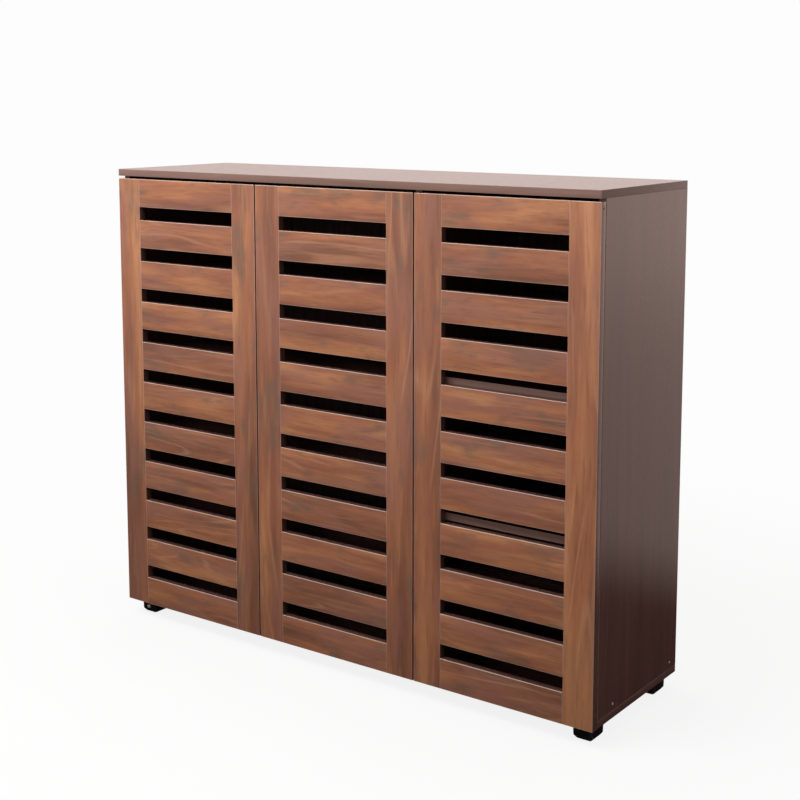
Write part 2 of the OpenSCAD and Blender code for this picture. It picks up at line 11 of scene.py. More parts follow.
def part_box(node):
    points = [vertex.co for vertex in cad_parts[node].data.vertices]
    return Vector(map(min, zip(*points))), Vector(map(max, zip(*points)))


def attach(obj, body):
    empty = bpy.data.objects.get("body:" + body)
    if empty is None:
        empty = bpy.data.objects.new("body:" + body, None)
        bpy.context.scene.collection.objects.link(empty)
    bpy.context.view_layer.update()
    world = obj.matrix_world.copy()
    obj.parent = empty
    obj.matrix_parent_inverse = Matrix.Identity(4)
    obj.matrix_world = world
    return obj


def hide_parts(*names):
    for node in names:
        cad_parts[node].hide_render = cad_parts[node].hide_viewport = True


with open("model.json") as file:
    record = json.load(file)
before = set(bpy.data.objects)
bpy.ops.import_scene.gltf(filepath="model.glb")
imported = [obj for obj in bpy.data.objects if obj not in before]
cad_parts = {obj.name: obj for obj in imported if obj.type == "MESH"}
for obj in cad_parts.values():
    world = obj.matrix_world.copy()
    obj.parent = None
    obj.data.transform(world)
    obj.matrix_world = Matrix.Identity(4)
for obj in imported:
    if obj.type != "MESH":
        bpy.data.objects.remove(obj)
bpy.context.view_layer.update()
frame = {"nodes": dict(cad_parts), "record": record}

MM = 0.001
X, Y, Z = 0, 1, 2
TOUCHING = 1e-4  # parts closer than this, in metres, touch
SAME_PLANE = 1e-6
FLAT = 0.995     # a normal with more than this along one axis belongs to a flat face
UPRIGHT = 0.05   # a normal with no more than this along Z belongs to an upright face
SHARP_ANGLE = math.radians(34)
DOORS = ("left", "middle", "right")
rng = random.Random(41)


# ---------- camera, light and floor ----------

def make_camera():
    """Looks at the cabinet from its front right, a little below eye height."""
    data = bpy.data.cameras.new("camera")
    data.sensor_width = 36
    data.lens = 64.5
    data.shift_y = -0.15
    data.clip_end = 60
    camera = bpy.data.objects.new("camera", data)
    camera.location = (1.7694, -2.3796, 1.1861)
    camera.rotation_euler = (math.radians(90 - 7.43), 0, math.radians(35.97))
    bpy.context.scene.collection.objects.link(camera)
    bpy.context.scene.camera = camera


def softbox(name, place, target, size, power):
    """A rectangular white light at place that faces target."""
    data = bpy.data.lights.new(name, "AREA")
    data.shape = "RECTANGLE"
    data.size, data.size_y = size
    data.energy = power
    light = bpy.data.objects.new(name, data)
    light.location = place
    light.rotation_euler = (Vector(target) - Vector(place)).to_track_quat("-Z", "Y").to_euler()
    bpy.context.scene.collection.objects.link(light)


def make_world():
    """A pale studio: white to the camera, and as light warm and brightest low behind the cabinet."""
    world = bpy.data.worlds.new("studio")
    world.use_nodes = True
    bpy.context.scene.world = world
    tree = Tree(world.node_tree)
    direction = tree.separate(tree.coordinates("Generated"))
    height = tree.math("MULTIPLY", tree.math("ADD", direction[Z], 1.0), 0.5)
    glow = tree.ramp(height, ((0.48, (1.40, 1.12, 1.02)), (0.51, (1.04, 0.85, 0.78)),
                              (0.60, (0.92, 0.83, 0.79)), (1.0, (0.40, 0.39, 0.38))))
    front = tree.spread(direction[Y], 0.2, -0.4)
    glow = tree.mix(front, glow, tree.mix(1.0, glow, (0.60, 0.63, 0.64), "MULTIPLY"))
    seen = tree.mix(tree.add("LightPath").outputs["Is Camera Ray"], glow, (0.98, 0.98, 0.98))
    shader = tree.add("Background", {"Color": seen, "Strength": 1.0})
    tree.link(shader.outputs[0], tree.add("OutputWorld").inputs["Surface"])


def make_floor():
    """A floor that the camera sees as pale and fading into the backdrop.

    Other rays meet a dark floor that glows only far away and behind the cabinet, and from below
    it can't be seen.
    """
    radius, sides = 24.0, 64
    bm = bmesh.new()
    bmesh.ops.create_circle(bm, cap_ends=True, radius=radius, segments=sides)
    mesh = bpy.data.meshes.new("floor")
    bm.to_mesh(mesh)
    bm.free()
    floor = bpy.data.objects.new("floor", mesh)
    bpy.context.scene.collection.objects.link(floor)
    material, tree = new_material("floor")
    mesh.materials.append(material)
    place = tree.coordinates("Object")
    grain = tree.noise(place, (3, 3, 3), detail=3)
    pale = tree.ramp(grain, ((0.3, (0.86, 0.86, 0.86)), (0.7, (0.89, 0.89, 0.89))))
    far = tree.add("Emission", {"Color": (0.98, 0.98, 0.98, 1)})
    near = tree.shader_mix(0.88, tree.add("BsdfDiffuse", {"Color": pale}), far)
    distance = tree.math("DIVIDE", tree.length(place), 2.2)
    fade = tree.ramp(distance, ((0.25, (0, 0, 0)), (0.9, (1, 1, 1))), "EASE")
    shown = tree.shader_mix(fade, near, far)
    around = tree.ramp(tree.math("DIVIDE", tree.length(place), 10.0),
                       ((0.16, (0, 0, 0)), (0.30, (0.20, 0.20, 0.20)), (1.0, (0.75, 0.75, 0.75))))
    behind = tree.ramp(tree.math("DIVIDE", tree.separate(place)[Y], 13.0),
                       ((0.045, (0, 0, 0)), (0.078, (0.39, 0.39, 0.39)), (0.26, (0.52, 0.52, 0.52)),
                        (0.57, (0.88, 0.88, 0.88)), (1.0, (1, 1, 1))))
    strength = tree.math("MULTIPLY", tree.math("MAXIMUM", around, behind), 1.5)
    glow = tree.add("Emission", {"Color": (1.0, 0.80, 0.73, 1), "Strength": strength})
    dim = tree.add("BsdfDiffuse", {"Color": (0.04, 0.035, 0.03, 1)})
    unseen = tree.add("AddShader")
    tree.link(dim.outputs[0], unseen.inputs[0])
    tree.link(glow.outputs[0], unseen.inputs[1])
    by_ray = tree.shader_mix(tree.add("LightPath").outputs["Is Camera Ray"], unseen, shown)
    clear = tree.add("BsdfTransparent")
    below = tree.add("NewGeometry").outputs["Backfacing"]
    tree.finish(tree.shader_mix(below, by_ray, clear))


# ---------- node trees ----------

class Tree:
    """A node tree with one short method for each kind of node that is used here."""

    def __init__(self, tree):
        self.tree = tree
        tree.nodes.clear()

    def link(self, output, socket):
        self.tree.links.new(output, socket)

    def add(self, kind, inputs=None, **settings):
        node = self.tree.nodes.new("ShaderNode" + kind)
        for key, value in settings.items():
            setattr(node, key, value)
        for key, value in (inputs or {}).items():
            if isinstance(value, bpy.types.NodeSocket):
                self.link(value, node.inputs[key])
            elif isinstance(value, tuple) and len(value) == 3 and node.inputs[key].type == "RGBA":
                node.inputs[key].default_value = (*value, 1)
            else:
                node.inputs[key].default_value = value
        return node

    def coordinates(self, kind):
        return self.add("TexCoord").outputs[kind]

    def attribute(self, name, output="Vector"):
        return self.add("Attribute", attribute_name=name).outputs[output]

    def math(self, operation, a, b=0.0):
        return self.add("Math", {0: a, 1: b}, operation=operation).outputs[0]

    def scale(self, vector, factors):
        return self.add("VectorMath", {0: vector, 1: factors}, operation="MULTIPLY").outputs[0]

    def length(self, vector):
        return self.add("VectorMath", {0: vector}, operation="LENGTH").outputs["Value"]

    def separate(self, vector):
        return self.add("SeparateXYZ", {"Vector": vector}).outputs

    def combine(self, x, y, z):
        return self.add("CombineXYZ", {"X": x, "Y": y, "Z": z}).outputs[0]

    def noise(self, vector, scales, detail=2.0, roughness=0.5, distortion=0.0):
        inputs = {"Vector": self.scale(vector, scales), "Scale": 1.0, "Detail": detail,
                  "Roughness": roughness, "Distortion": distortion}
        return self.add("TexNoise", inputs).outputs["Fac"]

    def mix(self, factor, a, b, blend="MIX"):
        node = self.add("Mix", data_type="RGBA", blend_type=blend)
        for socket, value in ((node.inputs[0], factor), (node.inputs[6], a), (node.inputs[7], b)):
            if isinstance(value, bpy.types.NodeSocket):
                self.link(value, socket)
            else:
                socket.default_value = (*value, 1) if isinstance(value, tuple) else value
        return node.outputs[2]

    def ramp(self, factor, stops, interpolation="LINEAR"):
        node = self.add("ValToRGB", {"Fac": factor})
        elements = node.color_ramp.elements
        node.color_ramp.interpolation = interpolation
        while len(elements) < len(stops):
            elements.new(0.5)
        for element, (position, colour) in zip(elements, stops):
            element.position = position
            element.color = (*colour, 1)
        return node.outputs["Color"]

    def spread(self, factor, low, high):
        """0 below low, 1 above high, and straight between them."""
        inputs = {"Value": factor, "From Min": low, "From Max": high}
        return self.add("MapRange", inputs, clamp=True).outputs[0]

    def bump(self, height, distance):
        return self.add("Bump", {"Height": height, "Distance": distance}).outputs[0]

    def shader_mix(self, factor, a, b):
        node = self.add("MixShader", {0: factor})
        self.link(a.outputs[0], node.inputs[1])
        self.link(b.outputs[0], node.inputs[2])
        return node

    def finish(self, shader):
        self.link(shader.outputs[0], self.add("OutputMaterial").inputs["Surface"])


def new_material(name):
    material = bpy.data.materials.new(name)
    material.use_nodes = True
    return material, Tree(material.node_tree)


# ---------- materials ----------

MELAMINE_TONES = ((0.30, (0.080, 0.037, 0.031)), (0.45, (0.098, 0.046, 0.039)),
                  (0.60, (0.114, 0.054, 0.046)), (0.75, (0.134, 0.066, 0.056)))


def drift(tree, grain, sway_share=0.060):
    """The grain vector with slow and quick sideways waves."""
    along, across, deep = tree.separate(grain)
    sway = tree.math("SUBTRACT", tree.noise(grain, (2.2, 8, 8), detail=1), 0.5)
    wobble = tree.math("SUBTRACT", tree.noise(grain, (12, 40, 40), detail=2), 0.5)
    shift = tree.math("ADD", tree.math("MULTIPLY", sway, sway_share), tree.math("MULTIPLY", wobble, 0.005))
    return tree.combine(along, tree.math("ADD", across, shift), deep)


def add_fibres(tree, flow, colour, strength):
    """Fine fibre lines and short pores over a colour; returns the colour, the fibres and the pores."""
    fine = tree.noise(flow, (40, 700, 700), detail=3, roughness=0.7)
    pores = tree.spread(tree.noise(flow, (60, 1500, 1500), detail=2), 0.56, 0.68)
    lines = tree.math("SUBTRACT", 1.0, tree.spread(fine, 0.30, 0.72))
    colour = tree.mix(tree.math("MULTIPLY", lines, strength), colour,
                      tree.mix(1.0, colour, (0.62, 0.55, 0.52), "MULTIPLY"))
    colour = tree.mix(tree.math("MULTIPLY", pores, strength), colour,
                      tree.mix(1.0, colour, (0.45, 0.40, 0.38), "MULTIPLY"))
    return colour, fine, pores


def foil_surface(tree, colour, fine, pores, rough, depth):
    """The satin surface shared by foil and boards."""
    roughness = tree.math("ADD", rough, tree.math("MULTIPLY", tree.math("SUBTRACT", fine, 0.5), 0.12))
    roughness = tree.math("ADD", roughness, tree.math("MULTIPLY", pores, 0.08))
    height = tree.math("SUBTRACT", fine, tree.math("MULTIPLY", pores, 0.8))
    tree.finish(tree.add("BsdfPrincipled", {"Base Color": colour, "Roughness": roughness, "IOR": 1.5,
                                            "Normal": tree.bump(height, depth)}))


def wood(name, stops, bands, streaks, depth, rough, edge_highlight_colour, edge_highlight_share, vector=None):
    """Plain wood or wood print. Its grain vector runs along, across and into the board, in metres.

    bands and streaks are the scales of the broad and the narrow figure, depth is that of the relief
    in metres, and the edge arguments give the colour of a painted highlight on the rounded edges and how
    much of it they show.
    """
    material, tree = new_material(name)
    flow = drift(tree, vector(tree) if vector else tree.attribute("grain"))
    broad = tree.noise(flow, bands, detail=3, roughness=0.55)
    middle = tree.noise(flow, streaks, detail=4, roughness=0.6)
    tone = tree.math("ADD", tree.math("MULTIPLY", broad, 0.7), tree.math("MULTIPLY", middle, 0.3))
    colour, fine, pores = add_fibres(tree, flow, tree.ramp(tone, stops), 0.14)
    # Painted highlight: the rounded edges are painted lighter in the edge colour.
    edge = tree.math("MULTIPLY", tree.attribute("edge", "Fac"), edge_highlight_share)
    colour = tree.mix(edge, colour, edge_highlight_colour)
    foil_surface(tree, colour, fine, pores, rough, depth)
    return material


def walnut_foil():
    """Printed walnut with soft bands and streaks; the sides of a bar or stile are covered dark, and on the
    walls of its bores that dark colour is painted shade.
    """
    material, tree = new_material("walnut_foil")
    flow = drift(tree, tree.attribute("grain"), 0.030)
    bands = tree.noise(flow, (3.0, 30, 30), detail=2, roughness=0.45)
    ribbons = tree.noise(flow, (10, 95, 95), detail=4, roughness=0.6)
    tone = tree.math("ADD", tree.math("MULTIPLY", bands, 0.66), tree.math("MULTIPLY", ribbons, 0.34))
    own_tone = tree.attribute("tone", "Fac")
    tone = tree.math("ADD", tone, tree.math("MULTIPLY", own_tone, 0.045))
    colour = tree.ramp(tone, ((0.32, (0.180, 0.077, 0.046)), (0.42, (0.262, 0.103, 0.059)),
                              (0.50, (0.330, 0.126, 0.068)), (0.57, (0.395, 0.156, 0.075)),
                              (0.68, (0.500, 0.222, 0.105))))
    mauve = tree.spread(tree.noise(flow, (6.0, 26, 26), detail=1), 0.50, 0.62)
    colour = tree.mix(tree.math("MULTIPLY", mauve, 0.65), colour, (0.315, 0.135, 0.096))
    smoke = tree.spread(tree.noise(flow, (11, 26, 26), detail=3, roughness=0.55), 0.56, 0.68)
    smoke = tree.math("MULTIPLY", smoke, tree.spread(own_tone, 4.0, 0.0))
    colour = tree.mix(tree.math("MULTIPLY", smoke, 0.70), colour, (0.180, 0.112, 0.078))
    field = tree.noise(flow, (1.3, 12, 12), detail=1, roughness=0.3)
    contour = tree.math("MULTIPLY", tree.math("PINGPONG", tree.math("MULTIPLY", field, 13.0), 0.5), 2.0)
    shown = tree.spread(tree.noise(flow, (3.5, 20, 20), detail=2), 0.48, 0.60)
    pale = tree.math("MULTIPLY", tree.spread(contour, 0.72, 1.0), tree.math("MULTIPLY", shown, 0.42))
    colour = tree.mix(pale, colour, (0.58, 0.295, 0.165))
    olive = tree.spread(tree.noise(flow, (9, 120, 120), detail=3), 0.55, 0.68)
    colour = tree.mix(tree.math("MULTIPLY", olive, 0.40), colour, (0.430, 0.214, 0.098))
    strokes = tree.spread(tree.noise(flow, (22, 260, 260), detail=3), 0.56, 0.68)
    colour = tree.mix(tree.math("MULTIPLY", strokes, 0.34), colour, (0.15, 0.070, 0.044))
    colour, fine, pores = add_fibres(tree, flow, colour, 0.16)
    # Painted highlight: the rounded edges of bars and stiles are painted lighter.
    edge = tree.math("MULTIPLY", tree.attribute("edge", "Fac"), 0.72)
    colour = tree.mix(edge, colour, (0.70, 0.54, 0.47))
    # The sides take the board's dark tones; on the walls of the bores this stands in as painted shade.
    side = tree.attribute("side", "Fac")
    colour = tree.mix(side, colour, tree.ramp(ribbons, MELAMINE_TONES))
    rough = tree.math("SUBTRACT", 0.42, tree.math("MULTIPLY", side, 0.20))
    foil_surface(tree, colour, fine, pores, rough, 0.00005)
    return material


def melamine():
    return wood("melamine_board", MELAMINE_TONES, bands=(1.6, 40, 40), streaks=(4, 170, 170),
                depth=0.00003, rough=0.18, edge_highlight_colour=(0.26, 0.17, 0.14), edge_highlight_share=0.7)


def edging():
    """Plastic edging, lighter than the board."""
    stops = ((0.30, (0.165, 0.095, 0.076)), (0.50, (0.225, 0.130, 0.106)), (0.70, (0.285, 0.172, 0.140)))
    return wood("melamine_edging", stops, bands=(2.0, 60, 60), streaks=(6, 300, 300),
                depth=0.00003, rough=0.32, edge_highlight_colour=(0.32, 0.22, 0.18), edge_highlight_share=0.6)


def side_edging():
    """Edging for the side edges in the board's own tones, less glossy than the board: a copy of the edging
    painted darker as shade where the edges face sideways.
    """
    return wood("melamine_side_edging", MELAMINE_TONES, bands=(2.0, 60, 60), streaks=(6, 300, 300),
                depth=0.00003, rough=0.42, edge_highlight_colour=(0.24, 0.16, 0.13), edge_highlight_share=0.6)


def node_grain(tree):
    """Grain along X for a CAD node, whose object coordinates are its place in metres."""
    x, y, z = tree.separate(tree.coordinates("Object"))
    return tree.combine(x, z, y)


def beech():
    stops = ((0.30, (0.50, 0.34, 0.20)), (0.50, (0.62, 0.44, 0.27)), (0.70, (0.72, 0.54, 0.36)))
    return wood("beech", stops, bands=(8, 60, 60), streaks=(30, 500, 500), depth=0.00005, rough=0.6,
                edge_highlight_colour=(0.7, 0.5, 0.35), edge_highlight_share=0.0, vector=node_grain)


def hardboard():
    """Pressed fibre, printed dark on the side that faces the shelves."""
    material, tree = new_material("hardboard")
    place = tree.coordinates("Object")
    fibres = tree.noise(place, (420, 420, 420), detail=4, roughness=0.7, distortion=1.2)
    clouds = tree.noise(place, (14, 14, 14), detail=5, roughness=0.65)
    tone = tree.math("ADD", tree.math("MULTIPLY", fibres, 0.8), tree.math("MULTIPLY", clouds, 0.2))
    raw = tree.ramp(tone, ((0.34, (0.22, 0.140, 0.080)), (0.50, (0.33, 0.215, 0.125)),
                           (0.66, (0.44, 0.30, 0.185))))
    flecks = tree.spread(tree.noise(place, (900, 900, 900), detail=1), 0.66, 0.72)
    raw = tree.mix(tree.math("MULTIPLY", flecks, 0.5), raw, (0.10, 0.06, 0.035))
    printed = tree.ramp(tree.noise(place, (140, 140, 3), detail=4),
                        ((0.35, (0.045, 0.025, 0.020)), (0.65, (0.085, 0.048, 0.038))))
    normal_y = tree.separate(tree.add("NewGeometry").outputs["True Normal"])[Y]
    inside = tree.spread(normal_y, -0.5, -0.9)
    colour = tree.mix(inside, raw, printed)
    roughness = tree.math("ADD", 0.62, tree.math("MULTIPLY", fibres, 0.3))
    inputs = {"Base Color": colour, "Roughness": roughness, "Normal": tree.bump(fibres, 0.0002)}
    tree.finish(tree.add("BsdfPrincipled", inputs))
    return material


def black_plastic():
    material, tree = new_material("black_plastic")
    place = tree.coordinates("Object")
    pebbles = tree.noise(place, (1400, 1400, 1400), detail=2)
    scuffs = tree.spread(tree.noise(place, (60, 60, 200), detail=5, roughness=0.75), 0.58, 0.72)
    colour = tree.mix(tree.math("MULTIPLY", scuffs, 0.5), (0.010, 0.010, 0.011), (0.045, 0.044, 0.043))
    # Painted highlight: the rounded edges of the feet are painted lighter.
    edge = tree.attribute("edge", "Fac")
    colour = tree.mix(tree.math("MULTIPLY", edge, 0.35), colour, (0.05, 0.05, 0.05))
    roughness = tree.math("ADD", 0.24, tree.math("MULTIPLY", scuffs, 0.25))
    inputs = {"Base Color": colour, "Roughness": roughness, "Normal": tree.bump(pebbles, 0.00008)}
    tree.finish(tree.add("BsdfPrincipled", inputs))
    return material


def metal(name, base, dark, rough, scratch, cells=0.0, metallic=1.0):
    """Plated or cast metal with fine scratches, handling marks and, if wanted, a grainy skin."""
    material, tree = new_material(name)
    place = tree.coordinates("Object")
    cloud = tree.noise(place, (160, 160, 160), detail=4, roughness=0.65)
    lines = tree.noise(place, (2600, 180, 180), detail=3, distortion=0.4)
    colour = tree.mix(tree.spread(cloud, 0.35, 0.65), dark, base)
    roughness = tree.math("ADD", rough, tree.math("MULTIPLY", tree.math("SUBTRACT", cloud, 0.5), 0.25))
    roughness = tree.math("ADD", roughness, tree.math("MULTIPLY", lines, scratch))
    height = tree.math("ADD", lines, tree.math("MULTIPLY", cloud, cells))
    shader = tree.add("BsdfPrincipled", {"Base Color": colour, "Roughness": roughness,
                                         "Normal": tree.bump(height, 0.00003)})
    shader.inputs["Metallic"].default_value = metallic
    tree.finish(shader)
    return material


def make_materials():
    """Every material, by the name of its slot; the boards' slot has two kinds of edging besides, the one
    for side edges a copy painted darker as shade.
    """
    return {
        "walnut_foil": walnut_foil(),
        "melamine_board": melamine(), "edging": edging(), "side_edging": side_edging(),
        "black_plastic": black_plastic(),
        "screw_steel": metal("screw_steel", base=(0.97, 0.97, 0.96), dark=(0.82, 0.82, 0.81),
                             rough=0.38, scratch=0.10, metallic=0.3),
        "hardboard": hardboard(),
        "beech": beech(),
        "plated_steel": metal("plated_steel", base=(0.66, 0.66, 0.64), dark=(0.45, 0.46, 0.46),
                              rough=0.36, scratch=0.14),
        "nickel_steel": metal("nickel_steel", base=(0.74, 0.72, 0.68), dark=(0.55, 0.53, 0.50),
                              rough=0.24, scratch=0.08),
        "zinc": metal("zinc", base=(0.52, 0.52, 0.53), dark=(0.36, 0.36, 0.37), rough=0.48,
                      scratch=0.10, cells=2.0),
    }


# ---------- mesh building ----------

def solids(node):
    """(lowest corner, highest corner) of each separate solid of a CAD node, from low to high."""
    bm = bmesh.new()
    bm.from_mesh(frame["nodes"][node].data)
    bmesh.ops.remove_doubles(bm, verts=bm.verts, dist=SAME_PLANE)
    seen, boxes = set(), []
    for start in bm.verts:
        if start.index in seen:
            continue
        stack, points = [start], []
        seen.add(start.index)
        while stack:
            vert = stack.pop()
            points.append(vert.co.copy())
            for edge in vert.link_edges:
                other = edge.other_vert(vert)
                if other.index not in seen:
                    seen.add(other.index)
                    stack.append(other)
        boxes.append((Vector(map(min, *points)), Vector(map(max, *points))))
    bm.free()
    return sorted(boxes, key=lambda box: (round(box[0].z, 4), round(box[0].x, 4), round(box[0].y, 4)))


def new_box(lo, hi):
    """A bmesh that holds one plain box."""
    bm = bmesh.new()
    place = Matrix.Translation((lo + hi) / 2) @ Matrix.Diagonal((*(hi - lo), 1))
    bmesh.ops.create_cube(bm, size=1, matrix=place)
    return bm


def edges_in_plane(bm, axis, value):
    return [e for e in bm.edges if all(abs(v.co[axis] - value) < SAME_PLANE for v in e.verts)]


def round_edges(bm, edges, radius, segments):
    bmesh.ops.bevel(bm, geom=edges, offset=radius, segments=segments, profile=0.5,
                    affect="EDGES", offset_type="OFFSET")


def to_mesh(bm, name):
    mesh = bpy.data.meshes.new(name)
    bmesh.ops.recalc_face_normals(bm, faces=bm.faces)
    bm.to_mesh(mesh)
    bm.free()
    return mesh


def carve(mesh, cutter):
    """The mesh with the cutter's shape taken out of it."""
    body = bpy.data.objects.new("carve", mesh)
    tool = bpy.data.objects.new("tool", cutter)
    for o in (body, tool):
        bpy.context.scene.collection.objects.link(o)
    modifier = body.modifiers.new("cut", "BOOLEAN")
    modifier.operation = "DIFFERENCE"
    modifier.solver = "EXACT"
    modifier.object = tool
    bpy.context.view_layer.update()
    graph = bpy.context.evaluated_depsgraph_get()
    carved = bpy.data.meshes.new_from_object(body.evaluated_get(graph))
    for o in (body, tool):
        bpy.data.objects.remove(o)
    return carved


def add_cylinder(bm, start, end, radius, end_radius=None, sides=48):
    """A cylinder or cone from start to end."""
    run = end - start
    turn = run.to_track_quat("Z", "Y").to_matrix().to_4x4()
    place = Matrix.Translation((start + end) / 2) @ turn
    bmesh.ops.create_cone(bm, cap_ends=True, segments=sides, radius1=radius,
                          radius2=radius if end_radius is None else end_radius,
                          depth=run.length, matrix=place)


def set_grain(mesh, lo, along, across, spread=1.0, tone=0.0):
    """Writes where each vertex lies in its foil: along the grain, across it, and in depth.

    spread below 1 widens the figure along and across the grain. tone makes the whole piece
    darker, below 0, or lighter, above 0, than the rest of its material.
    """
    deep = 3 - along - across
    start = Vector((rng.uniform(0, 9), rng.uniform(0, 9), rng.uniform(0, 9)))
    values = []
    for vert in mesh.vertices:
        place = vert.co - lo
        values += [place[along] * spread + start.x, place[across] * spread + start.y,
                   place[deep] + start.z]
    mesh.attributes.new("grain", "FLOAT_VECTOR", "POINT").data.foreach_set("vector", values)
    mesh.attributes.new("tone", "FLOAT", "FACE").data.foreach_set("value", [tone] * len(mesh.polygons))


def mark_highlight_edges(mesh, upright_highlight_share=1.0):
    """Marks the narrow faces of rounded edges, which the materials paint lighter as a painted highlight.

    Upright edges get the given share of the painted highlight.
    """
    marks = []
    for face in mesh.polygons:
        if max(map(abs, face.normal)) > FLAT:
            marks.append(0.0)
        else:
            marks.append(1.0 if abs(face.normal.z) > UPRIGHT else upright_highlight_share)
    mesh.attributes.new("edge", "FLOAT", "FACE").data.foreach_set("value", marks)


def smooth(mesh):
    mesh.polygons.foreach_set("use_smooth", [True] * len(mesh.polygons))
    mesh.set_sharp_from_angle(angle=SHARP_ANGLE)


def piece(name, mesh, material, body, node):
    """Puts a finished mesh in the scene as a piece of the cabinet, in place of a CAD node."""
    mesh.materials.clear()
    mesh.materials.append(material)
    smooth(mesh)
    obj = bpy.data.objects.new(name, mesh)
    bpy.context.scene.collection.objects.link(obj)
    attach(obj, body)
    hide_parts(node)


# ---------- carcass ----------

BAND = 0.8 * MM            # thickness of the plastic edging
BAND_SEAM = 0.05 * MM      # hairline between edging and board
BAND_ROUNDING = 0.65 * MM  # rounding of the edging's outer borders
BOARD_ROUNDING = 0.2 * MM
CUT_PAST = 1.0 * MM        # how far a cutter stands out of the face that it cuts
CAM_CLEARANCE = 0.1 * MM
SINK_PAST = 0.5 * MM       # a countersink's cutter starts this far outside the face
SINK_DEPTH = 1.1 * MM
SINK_NARROWING = 0.9 * MM  # how much smaller than the screw head the countersink ends
# The edges of a board that are covered, as (axis, side)
FRONT_EDGE = ((Y, -1),)
FRONT_AND_SIDE_EDGES = ((Y, -1), (X, -1), (X, 1))


def edging_strip(lo, hi, axis, side, name):
    """A thin strip whose outer face has rounded borders."""
    bm = new_box(lo, hi)
    outer = hi[axis] if side > 0 else lo[axis]
    round_edges(bm, edges_in_plane(bm, axis, outer), BAND_ROUNDING, 3)
    return to_mesh(bm, name)


def board(node, materials, along, across, banded, cutter=None):
    """A coated board with edging on its banded edges, and the cutter's shape taken out of it."""
    lo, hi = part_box(node)
    core_lo, core_hi = lo.copy(), hi.copy()
    for axis, side in banded:
        if side < 0:
            core_lo[axis] += BAND
        else:
            core_hi[axis] -= BAND
    core = new_box(core_lo, core_hi)
    round_edges(core, core.edges[:], BOARD_ROUNDING, 1)
    mesh = to_mesh(core, node)
    if cutter:
        mesh = carve(mesh, cutter)
    set_grain(mesh, lo, along, across)
    mark_highlight_edges(mesh)
    piece(node + "_board", mesh, materials["melamine_board"], "cabinet", node)
    for count, (axis, side) in enumerate(banded):
        strip_lo, strip_hi = core_lo.copy(), core_hi.copy()
        for other, other_side in banded[:count]:
            if other_side < 0:
                strip_lo[other] = lo[other]
            else:
                strip_hi[other] = hi[other]
        if side < 0:
            strip_lo[axis], strip_hi[axis] = lo[axis], core_lo[axis] - BAND_SEAM
        else:
            strip_lo[axis], strip_hi[axis] = core_hi[axis] + BAND_SEAM, hi[axis]
        strip = edging_strip(strip_lo, strip_hi, axis, side, node + "_edging")
        length_axis = max((a for a in (X, Y, Z) if a != axis), key=lambda a: (strip_hi - strip_lo)[a])
        set_grain(strip, lo, length_axis, 3 - axis - length_axis)
        mark_highlight_edges(strip)
        side_name = "XYZ"[axis].lower() + ("_low" if side < 0 else "_high")
        # Side edges take a copy of the edging that is painted darker as shade.
        covering = materials["edging" if axis == Y else "side_edging"]
        piece(node + "_edging_" + side_name, strip, covering, "cabinet", node)


def upright_cutter(node):
    """The pockets of the cams and the countersinks of the screws in an upright panel."""
    lo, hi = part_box(node)
    bm = bmesh.new()
    for cam_lo, cam_hi in solids("cam_locks"):
        middle = (cam_lo + cam_hi) / 2
        if lo.x < middle.x < hi.x:
            radius = (cam_hi.z - cam_lo.z) / 2 + CAM_CLEARANCE
            at_low_face = cam_lo.x - lo.x < TOUCHING
            end_x = lo.x - CUT_PAST if at_low_face else hi.x + CUT_PAST
            floor_x = cam_hi.x if at_low_face else cam_lo.x
            start = Vector((end_x, middle.y, middle.z))
            add_cylinder(bm, start, Vector((floor_x, middle.y, middle.z)), radius)
    for screw_lo, screw_hi in solids("block_screws"):
        sideways = screw_hi.x - screw_lo.x > screw_hi.z - screw_lo.z
        middle = (screw_lo + screw_hi) / 2
        if sideways and screw_lo.x - TOUCHING < hi.x and screw_hi.x + TOUCHING > lo.x:
            radius = (screw_hi.z - screw_lo.z) / 2
            face_x = screw_lo.x if middle.x < 0 else screw_hi.x
            inward = 1 if middle.x < 0 else -1
            start = Vector((face_x - inward * SINK_PAST, middle.y, middle.z))
            end = Vector((face_x + inward * SINK_DEPTH, middle.y, middle.z))
            add_cylinder(bm, start, end, radius + SINK_PAST, radius - SINK_NARROWING)
    return to_mesh(bm, "cutter")


def make_carcass(materials):
    for node in ("top_panel", "bottom_panel"):
        board(node, materials, X, Y, FRONT_AND_SIDE_EDGES)
    for node in ("side_panel_left", "side_panel_right", "partition_panel"):
        board(node, materials, Z, Y, FRONT_EDGE, upright_cutter(node))
    for node in sorted(frame["nodes"]):
        if node.startswith(("shelf_left_", "shelf_right_")):
            board(node, materials, X, Y, FRONT_EDGE)


# ---------- doors ----------

FRONT_ROUNDING = 1.0 * MM
REAR_ROUNDING = 0.4 * MM
CUP_BORE_R = 17.6 * MM
CUP_FROM_EDGE = 22.5 * MM  # from the door's hinge edge to a cup's centre
CUP_FLOOR_GAP = 0.05 * MM
LOCATING_HOLE_R = 2 * MM
LOCATING_HOLE_DEPTH = 6 * MM
LOCATING_HOLE_DROP = 12 * MM  # below the top of the door
UPRIGHT_HIGHLIGHT_SHARE = 0.4            # share of the painted highlight on the upright edges beside that on the level ones
STILE_SPREAD = 0.6            # below 1, so a stile has a wider figure than a bar
# How light each stile is beside the bars of its door
STILE_TONES = {("left", "hinge"): 0.6, ("left", "free"): -1.0, ("middle", "free"): 0.0,
               ("middle", "hinge"): 0.1, ("right", "free"): -1.6, ("right", "hinge"): 3.3}


def door_member(box, name):
    """A bar or stile: wide rounding round its front face, slight rounding round its back."""
    lo, hi = box
    bm = new_box(lo, hi)
    round_edges(bm, edges_in_plane(bm, Y, lo.y), FRONT_ROUNDING, 4)
    round_edges(bm, edges_in_plane(bm, Y, hi.y), REAR_ROUNDING, 2)
    return to_mesh(bm, name)


